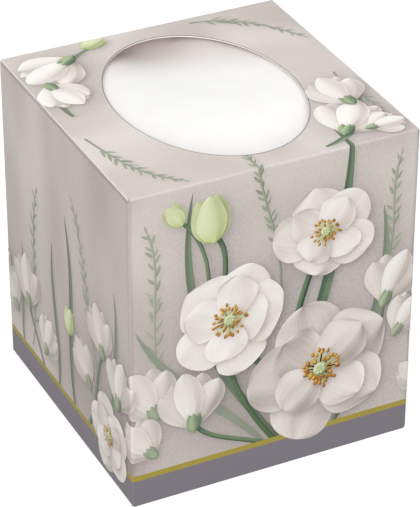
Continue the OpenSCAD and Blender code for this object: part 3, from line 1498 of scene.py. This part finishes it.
    def top_film(self) -> None:
        """Makes the printed ground of the top panel as a film round the opening."""
        s = self.blank.sizes
        mesh = bmesh.new()
        count = self.TOP_SPOKES
        half_x = s.half_w - s.raw_inset - self.EDGE_GAP
        low, high = s.height + s.fold_radius, s.height + s.depth - s.raw_inset - self.EDGE_GAP
        middle = Vector((0, s.height + s.half_d, self.FILM))
        inner, outer = (
            bmesh.ops.create_circle(mesh, segments=count, radius=1)["verts"] for _ in range(2)
        )
        corners = [math.atan2(y - middle.y, x) for x in (-half_x, half_x) for y in (low, high)]
        for vert in outer:
            angle = math.atan2(vert.co.y, vert.co.x)
            near = min(corners, key=lambda c: abs(c - angle))
            if abs(near - angle) < math.pi / count:
                angle = near
            c, n = math.cos(angle), math.sin(angle)
            rise = (high - middle.y) if n > 0 else (middle.y - low)
            reach = min(half_x / max(abs(c), 1e-9), rise / max(abs(n), 1e-9))
            vert.co = middle + Vector((c, n, 0)) * reach
        for vert in inner:
            x = vert.co.x * (s.opening_w / 2 + self.RIM_GAP)
            vert.co = middle + Vector((x, vert.co.y * (s.opening_l / 2 + self.RIM_GAP), 0))
        bmesh.ops.bridge_loops(mesh, edges=mesh.edges[:])
        rim = set(inner)
        spokes = [edge for edge in mesh.edges if len(rim & set(edge.verts)) == 1]
        bmesh.ops.subdivide_edges(mesh, edges=spokes, cuts=self.TOP_RINGS, use_grid_fill=True)
        self.shade_ground(mesh)
        self.wrap(mesh, "print_top", [self.board])

    def shade_ground(self, mesh: bmesh.types.BMesh) -> None:
        """Writes the soft shade of the motifs into a flat film.

        Args:
            mesh: The film.
        """
        layer = mesh.verts.layers.float.new("shade")
        points = np.array([vert.co for vert in mesh.verts])
        for vert, value in zip(mesh.verts, self.map.shades(points, self.GROUND_SHADES)):
            vert[layer] = value


@dataclass(frozen=True)
class TissueClip:
    """The clip of interfolded tissues, bent over inside the carton, in millimetres.

    Behind its crown a strip in the middle sinks in a soft dip and rises again at the back wall.
    """

    width: float
    half_depth: float
    crown: float
    seat: float
    crown_radius: float = 116.0
    crown_thickness: float = 20.4
    bend_gap: float = 4.0
    shoulder: float = 4.0
    leaves: int = 16
    ridge: float = 0.6
    steep_at: float = 37.0
    level_at: float = 54.0
    steepness: float = 0.25
    dip_x: float = -1.0
    dip_half: float = 21.0
    dip_power: float = 1.5
    lip_from: float = 46.0
    lip: float = 1.0
    settle_depth: float = 34.0
    wave: float = 0.16
    wave_turns: tuple[float, float] = (0.11, 0.13)
    steps: int = 90
    slices: int = 84

    @classmethod
    def measured(cls) -> "TissueClip":
        """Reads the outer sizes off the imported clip."""
        low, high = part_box("tissue_stack")
        return cls((high.x - low.x) / MM, high.y / MM, high.z / MM, low.z / MM)

    def bend(self, share: float) -> tuple[float, float, float, float, float]:
        """Works out one leaf's bend.

        Args:
            share: Which leaf, from the innermost, 0, to the outermost, 1.

        Returns:
            Half its depth, its shoulder, its arc's radius, the arc's end and the shoulder's height.
        """
        half = self.bend_gap / 2 + (self.half_depth - self.bend_gap / 2) * share
        shoulder = self.bend_gap / 2 + (self.shoulder - self.bend_gap / 2) * share
        arc = self.crown_radius - (1 - share) * self.crown_thickness
        tip = math.asin((half - shoulder) / (arc - shoulder))
        height = self.crown - self.crown_radius + (arc - shoulder) * math.cos(tip)
        return half, shoulder, arc, tip, height

    def bend_length(self, share: float) -> float:
        """Length of half a leaf over its bend."""
        _, shoulder, arc, tip, _ = self.bend(share)
        return arc * tip + shoulder * (math.pi / 2 - tip)

    def leaf_point(self, share: float, along: float, half_sheet: float) -> tuple[float, float]:
        """Finds a point on a leaf.

        Args:
            share: Which leaf, from the innermost, 0, to the outermost, 1.
            along: Where along the leaf, from -1 to 1 with 0 on the crown.
            half_sheet: Half the length of every leaf.

        Returns:
            Its depth and its height.
        """
        half, shoulder, arc, tip, shoulder_z = self.bend(share)
        walked, side = abs(along) * half_sheet, math.copysign(1, along)
        if walked <= arc * tip:
            turn = walked / arc
            y, z = arc * math.sin(turn), self.crown - self.crown_radius + arc * math.cos(turn)
        elif walked <= self.bend_length(share):
            turn = tip + (walked - arc * tip) / shoulder
            y = half - shoulder + shoulder * math.sin(turn)
            z = shoulder_z + shoulder * math.cos(turn)
        else:
            y, z = half, shoulder_z - (walked - self.bend_length(share))
        return side * y, z

    def build(self) -> None:
        """Models the clip as one closed mesh and puts it in the place of the plain solid."""
        half_sheet = self.bend_length(0) + self.bend(0)[4] - self.seat
        grooves = [(i + part) / self.leaves for i in range(self.leaves) for part in (0.25, 0.75)]
        cuts = [0.0, *grooves, 1.0]
        mesh = bmesh.new()
        rows = len(cuts) - 1
        made = bmesh.ops.create_grid(mesh, x_segments=2 * self.steps, y_segments=rows, size=1)
        body = self.width / 2 - self.ridge
        for vert in made["verts"]:
            row = round((vert.co.y + 1) / 2 * rows)
            vert.co = (-body, *self.leaf_point(cuts[row], vert.co.x, half_sheet))
        grown = bmesh.ops.extrude_face_region(mesh, geom=mesh.faces[:], use_keep_orig=True)
        moved = [item for item in grown["geom"] if isinstance(item, bmesh.types.BMVert)]
        bmesh.ops.translate(mesh, verts=moved, vec=(2 * body, 0, 0))
        bmesh.ops.recalc_face_normals(mesh, faces=mesh.faces)
        spans = [edge for edge in mesh.edges if abs(edge.verts[0].co.x - edge.verts[1].co.x) > body]
        bmesh.ops.subdivide_edges(mesh, edges=spans, cuts=self.slices - 1, use_grid_fill=True)
        for vert in mesh.verts:
            self.ruffle(vert)
            self.settle_back(vert)
        bmesh.ops.scale(mesh, vec=(MM, MM, MM), verts=mesh.verts)
        piece = add_piece(mesh, "tissue_clip", [TissuePaper().material()])
        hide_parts("tissue_stack")

    def ruffle(self, vert: bmesh.types.BMVert) -> None:
        """Lets the outermost leaf lie a little uneven over the crown.

        Args:
            vert: A point of the clip.
        """
        x, y, z = vert.co
        outer = math.hypot(y, z - self.crown + self.crown_radius) > self.crown_radius - 0.01
        if outer and z > self.crown - self.crown_thickness:
            across, along = self.wave_turns
            wave = math.sin(x * across + 1.2 * math.sin(y * 0.05)) * math.sin(y * along + 0.7)
            vert.co.z -= self.wave * (1 + wave)

    def top_at(self, depth: float) -> float:
        """Finds the outermost leaf before its back settles.

        Args:
            depth: How far behind the crown.

        Returns:
            Its height.
        """
        half, shoulder, arc, tip, shoulder_z = self.bend(1.0)
        if depth <= arc * math.sin(tip):
            return self.crown - self.crown_radius + math.sqrt(arc**2 - depth**2)
        over = min(depth - (half - shoulder), shoulder)
        return shoulder_z + math.sqrt(shoulder**2 - over**2)

    def settled(self, depth: float, aside: float) -> float:
        """Finds the outermost leaf behind the crown: flat, falling, and up the back wall.

        Args:
            depth: How far behind the crown.
            aside: How far to the right of the middle.

        Returns:
            Its height.
        """
        fall = min(max(depth, 0.0), self.steep_at)
        drop = self.steepness * fall**3 / (3 * self.steep_at**2)
        run = min(max(depth - self.steep_at, 0.0), self.level_at - self.steep_at)
        drop += self.steepness * (run - run**2 / (self.level_at - self.steep_at) / 2)
        up = max(depth - self.lip_from, 0.0) / (self.half_depth - self.lip_from)
        drop -= self.lip * up**2.5
        slack = 1 - min(abs(aside - self.dip_x) / self.dip_half, 1.0) ** 2
        return self.crown - drop * slack**self.dip_power

    def settle_back(self, vert: bmesh.types.BMVert) -> None:
        """Moves a point behind the crown with the leaf over it, less the deeper it lies.

        Args:
            vert: A point of the clip.
        """
        x, y, z = vert.co
        if y > 0:
            top = self.top_at(min(y, self.half_depth))
            below = min(max((top - z) / self.settle_depth, 0.0), 1.0)
            share = 1 - below**2 * (3 - 2 * below)
            vert.co.z += (self.settled(y, x) - top) * share


@dataclass(frozen=True)
class TissuePaper:
    """Soft, matt white tissue with a fine crepe, with shade painted where it sinks behind the crown."""

    white: Colour = srgb(250, 249, 247)
    shade: Colour = srgb(248, 247, 245)
    # Colour of the painted shade towards the back of the clip, where it begins and is full, and how it
    # leans across
    deep: Colour = srgb(216, 206, 203)
    shade_from: float = 14.0
    shade_at: float = 48.0
    shade_lean: float = 0.3
    sheen: float = 0.15
    roughness: float = 0.92
    shine: float = 0.1

    def material(self) -> bpy.types.Material:
        """Makes the tissue's material.

        Returns:
            The material.
        """
        g = Graph.of("tissue_paper")
        where = g.where()
        crepe, cloud = where.stretched((1.0, 0.35, 1.0)).noise(1400, 3, 0.6), where.noise(120, 3)
        colour = g.blend(cloud.ramp(0.35, 0.7), self.shade, self.white)
        across, along, _ = where.parts()
        # Painted shade, darker towards the back wall and to the right
        painted_shade = (across * self.shade_lean + along).ramp(self.shade_from * MM, self.shade_at * MM)
        g.bump(cloud * 0.4 + crepe, 0.2, 0.12 * MM)
        g.shader.inputs["Sheen Weight"].default_value = self.sheen
        return g.finish(g.blend(painted_shade, colour, self.deep), self.roughness, self.shine)


@dataclass(frozen=True)
class Lamp:
    """A soft square lamp that faces the object."""

    name: str
    azimuth: float
    elevation: float
    size: float
    power: float

    TARGET = Vector((0, 0, 0.07))
    DISTANCE = 1.6

    def hang(self) -> None:
        """Hangs the lamp, to the right of the front where its azimuth is positive."""
        data = bpy.data.lights.new(self.name, "AREA")
        data.size, data.energy = self.size, self.power
        aside = Matrix.Rotation(math.radians(self.azimuth), 4, "Z")
        way = aside @ Matrix.Rotation(math.radians(-self.elevation), 4, "X") @ Vector((0, -1, 0))
        facing = way.to_track_quat("Z", "Y").to_matrix().to_4x4()
        shift = Matrix.Translation(self.TARGET + way * self.DISTANCE)
        put_in_scene(self.name, data).matrix_world = shift @ facing


@dataclass(frozen=True)
class Studio:
    """The camera, the lights and the pale floor round the object."""

    place: tuple[float, float, float] = (-0.35922, -0.73433, 0.56888)
    azimuth: float = -26.1982
    elevation: float = 31.8879
    roll: float = 0.1125
    lens: float = 186.275
    film_height: float = 36.0
    lamps: tuple[Lamp, ...] = (
        Lamp("key", -34, 35, 1.5, 24.0),
        Lamp("top", 0, 88, 1.8, 2.5),
        Lamp("back", 150, 40, 1.4, 5.0),
    )
    floor_size: float = 6.0
    floor_grey: float = 0.42
    floor_glow: float = 0.72
    floor_roughness: float = 0.9
    room_light: float = 0.4

    def camera(self) -> None:
        """Sets up the camera at the photograph's viewing angle."""
        data = bpy.data.cameras.new("camera")
        data.sensor_fit = "VERTICAL"
        data.sensor_height = self.film_height
        data.lens = self.lens
        data.clip_start, data.clip_end = 0.05, 50
        camera = put_in_scene("camera", data)
        camera.matrix_world = (
            Matrix.Translation(self.place)
            @ Matrix.Rotation(math.radians(self.azimuth), 4, "Z")
            @ Matrix.Rotation(math.radians(90 - self.elevation), 4, "X")
            @ Matrix.Rotation(math.radians(self.roll), 4, "Z")
        )
        bpy.context.scene.camera = camera

    def floor(self) -> None:
        """Lays the white floor, which keeps the object's shadow."""
        mesh = bmesh.new()
        bmesh.ops.create_grid(mesh, x_segments=1, y_segments=1, size=self.floor_size)
        data = mesh_data(mesh, "floor")
        g = Graph.of("floor")
        g.put(g.shader.inputs["Emission Color"], (1, 1, 1, 1))
        g.put(g.shader.inputs["Emission Strength"], g.seen() * self.floor_glow)
        grey = (*[self.floor_grey] * 3, 1)
        data.materials.append(g.finish(grey, self.floor_roughness, 0.0))
        floor = put_in_scene("floor", data)

    def world(self) -> None:
        """Lights the room evenly and shows it white."""
        g = Graph(bpy.data.worlds.new("room"))
        bpy.context.scene.world = g.owner
        strength = g.add("MapRange", {"Value": g.seen(), "To Min": self.room_light, "To Max": 1.0})
        g.put(g.shader.inputs["Strength"], Term(g, strength, "Result"))
        g.put(g.shader.inputs["Color"], (1, 1, 1, 1))

    def build(self) -> None:
        """Builds the studio."""
        bpy.context.scene.view_settings.view_transform = "Standard"
        self.camera()
        for lamp in self.lamps:
            lamp.hang()
        self.floor()
        self.world()


# The motifs of each panel, from the lowest to the uppermost, placed from its lower left corner
MOTIFS: dict[Panel, tuple[Motif, ...]] = {
    Panel.FRONT: (
        Sprig(((14, 40), (4, 70), (14, 94), (7, 112)), 6.5, 11, 0.4, 3),
        Sprig(((98, 70), (106, 88), (99, 104), (104, 118)), 6.0, 8, 0.35, 4),
        Sprig(((58, 76), (58, 104), (46, 118), (49, 138)), 5.5, 12, 0.25, 2),
        Stem(((60, 10), (34, 44), (16, 78), (24, 124)), 3.8, True, 0.1, -0.12),
        Stem(((66, 10), (66, 60), (88, 92), (84, 140)), 4.4, True, 0.05, -0.16),
        Stem(((54, 10), (40, 30), (12, 50), (2, 74)), 3.4, True, 0.3, -0.08),
        Stem(((74, 10), (92, 40), (104, 66), (98, 100)), 3.6, True, 0.2, -0.1),
        Stem(((62, 10), (60, 40), (44, 52), (40, 66)), 2.6, bright=-0.12),
        Stem(((64, 10), (56, 50), (68, 76), (74, 92)), 2.5, bright=-0.16),
        Stem(((58, 10), (20, 60), (44, 90), (33, 104)), 2.0, bright=-0.1),
        Stem(((56, 10), (44, 18), (28, 20), (24, 30)), 1.8, bright=-0.05),
        Stem(((78, 10), (92, 30), (100, 48), (99, 60)), 1.8, fade=0.1),
        Stem(((30, 84), (30, 98), (26, 106), (20.5, 112.5)), 1.5, fade=0.05, bright=-0.06),
        Bell(99, 58, 23, -20, 26, 0.15, 5),
        Bell(104, 44, 19, -34, 24, 0.25, 15),
        Bell(10, 36, 23, 24, 28, 0.25, 7),
        Bell(24, 27, 25, 4, 27, 0.08, 6),
        Bell(9, 20, 20, 38, 25, 0.2, 8),
        Bud(32, 102, 19, 8, 9),
        Bud(20, 112, 10, 30, 10),
        Blossom(75, 95, 21, 20, 28, 60, 34, 11),
        Blossom(38, 69, 24, 50, 22, 160, 40, 12),
        Blossom(74, 38, 29, 12, 16, -20, 50, 14),
    ),
    Panel.LEFT: (
        Sprig(((22, 16), (30, 40), (22, 64), (30, 86)), 7.0, 10, 0.3, 21),
        Sprig(((84, 40), (72, 60), (76, 82), (64, 100)), 6.5, 10, 0.35, 22),
        Stem(((62, 10), (54, 40), (66, 60), (56, 92)), 3.4, True, 0.15, -0.2),
        Stem(((46, 10), (52, 30), (40, 50), (44, 74)), 3.0, True, 0.2, -0.2),
        Stem(((96, 10), (92, 40), (104, 60), (98, 84)), 3.0, True, 0.25, -0.15),
        Stem(((72, 10), (84, 26), (80, 40), (88, 52)), 2.2, False, 0.15, -0.12),
        Stem(((14, 10), (10, 24), (18, 40), (14, 58)), 2.4, True, 0.25, -0.15),
        Stem(((34, 10), (30, 20), (22, 26), (20, 34)), 1.8, False, 0.2, -0.1),
        Bell(88, 50, 21, 14, 28, 0.2, 23),
        Bell(100, 36, 22, -12, 26, 0.15, 24),
        Bell(76, 30, 20, 36, 27, 0.2, 25),
        Bell(20, 32, 23, 8, 28, 0.2, 27),
        Bell(8, 24, 19, 30, 26, 0.3, 28),
        Bell(34, 20, 19, -26, 26, 0.25, 29),
        Blossom(92, 19, 17, 15, 24, 200, 26, 26),
        Bud(57, 42, 12, -10, 30),
    ),
    Panel.TOP: (
        Sprig(((4, 44), (8, 26), (10, 14), (22, 4)), 5.5, 9, 0.3, 31),
        Sprig(((74, 107), (86, 106), (98, 98), (107, 80)), 5.5, 9, 0.3, 32),
        Sprig(((104, 50), (102, 36), (108, 24), (104, 12)), 5.0, 8, 0.3, 37),
        Stem(((76, 3), (92, 6), (104, 20), (105, 44)), 3.0, True, 0.1, -0.05),
        Stem(((84, 9), (94, 14), (100, 26), (99, 38)), 2.6, True, 0.15, -0.05),
        Stem(((7, 60), (3, 80), (14, 98), (38, 107)), 3.2, True, 0.15, -0.05),
        Stem(((4, 72), (10, 86), (14, 96), (26, 103)), 2.4, True, 0.2, 0.0),
        Bell(86, 8, 25, -40, 31, 0.0, 33, 0.16),
        Bell(99, 26, 22, 8, 28, 0.05, 34, 0.14),
        Bell(95, 8, 15, -84, 24, 0.1, 39, 0.1),
        Bell(24, 101, 25, 122, 30, 0.0, 35, 0.16),
        Bell(8, 86, 20, 192, 27, 0.05, 36, 0.14),
        Bud(30, 106, 11, -74, 38),
    ),
    Panel.RIGHT: (
        Sprig(((14, 20), (22, 40), (16, 62), (24, 80)), 6.5, 10, 0.3, 41),
        Sprig(((90, 18), (84, 34), (90, 56), (82, 74)), 6.0, 9, 0.3, 42),
        Stem(((44, 10), (44, 40), (64, 60), (60, 94)), 3.6, True, 0.15, -0.15),
        Stem(((62, 10), (56, 36), (40, 60), (46, 80)), 3.2, True, 0.2, -0.15),
        Stem(((40, 10), (38, 26), (46, 34), (50, 42)), 2.2, False, 0.1, -0.1),
        Stem(((70, 10), (74, 14), (76, 20), (78, 28)), 1.8, False, 0.15, -0.05),
        Bell(78, 26, 22, -14, 27, 0.12, 43),
        Bell(90, 18, 19, -40, 25, 0.2, 44),
        Bell(18, 28, 21, 14, 27, 0.1, 46),
        Bell(8, 18, 17, 40, 25, 0.2, 47),
        Blossom(49, 41, 21, 30, 20, 30, 34, 45),
    ),
    Panel.BACK: (
        Sprig(((96, 50), (104, 70), (98, 92), (104, 110)), 6.5, 9, 0.35, 51),
        Sprig(((14, 56), (6, 76), (14, 98), (8, 114)), 6.0, 9, 0.35, 50),
        Stem(((50, 10), (72, 50), (92, 84), (80, 122)), 4.0, True, 0.1, -0.12),
        Stem(((46, 10), (44, 60), (22, 90), (30, 122)), 4.2, True, 0.05, -0.16),
        Stem(((50, 10), (50, 40), (66, 52), (70, 64)), 2.5, bright=-0.12),
        Stem(((48, 10), (54, 46), (44, 76), (38, 92)), 2.4, bright=-0.14),
        Stem(((54, 10), (92, 56), (70, 90), (80, 102)), 2.0, bright=-0.1),
        Bell(11, 52, 21, 20, 26, 0.15, 52),
        Bell(98, 34, 23, -22, 27, 0.2, 53),
        Bell(86, 26, 22, -2, 26, 0.1, 58),
        Bud(80, 100, 18, -8, 54),
        Blossom(37, 94, 20, 40, 28, 120, 32, 55),
        Blossom(73, 67, 23, 15, 22, 20, 38, 56),
        Blossom(39, 38, 27, 0, 16, 200, 46, 57),
    ),
}


def main() -> None:
    """Builds the object's pieces and the studio."""
    logging.basicConfig(level=logging.INFO, format="%(name)s: %(message)s")
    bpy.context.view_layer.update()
    sizes = CartonSizes.measured()
    blank = Blank(sizes)
    Studio().build()
    board = PrintedBoard(sizes).material()
    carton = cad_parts["carton"]
    carton.data.materials.clear()
    carton.data.materials.append(board)
    printing = Printing(blank, board)
    for wall in Wall:
        printing.wall_film(wall)
    printing.top_film()
    for panel in Panel:
        printing.motifs(panel)
    TissueClip.measured().build()


if __name__ == "__main__":
    main()
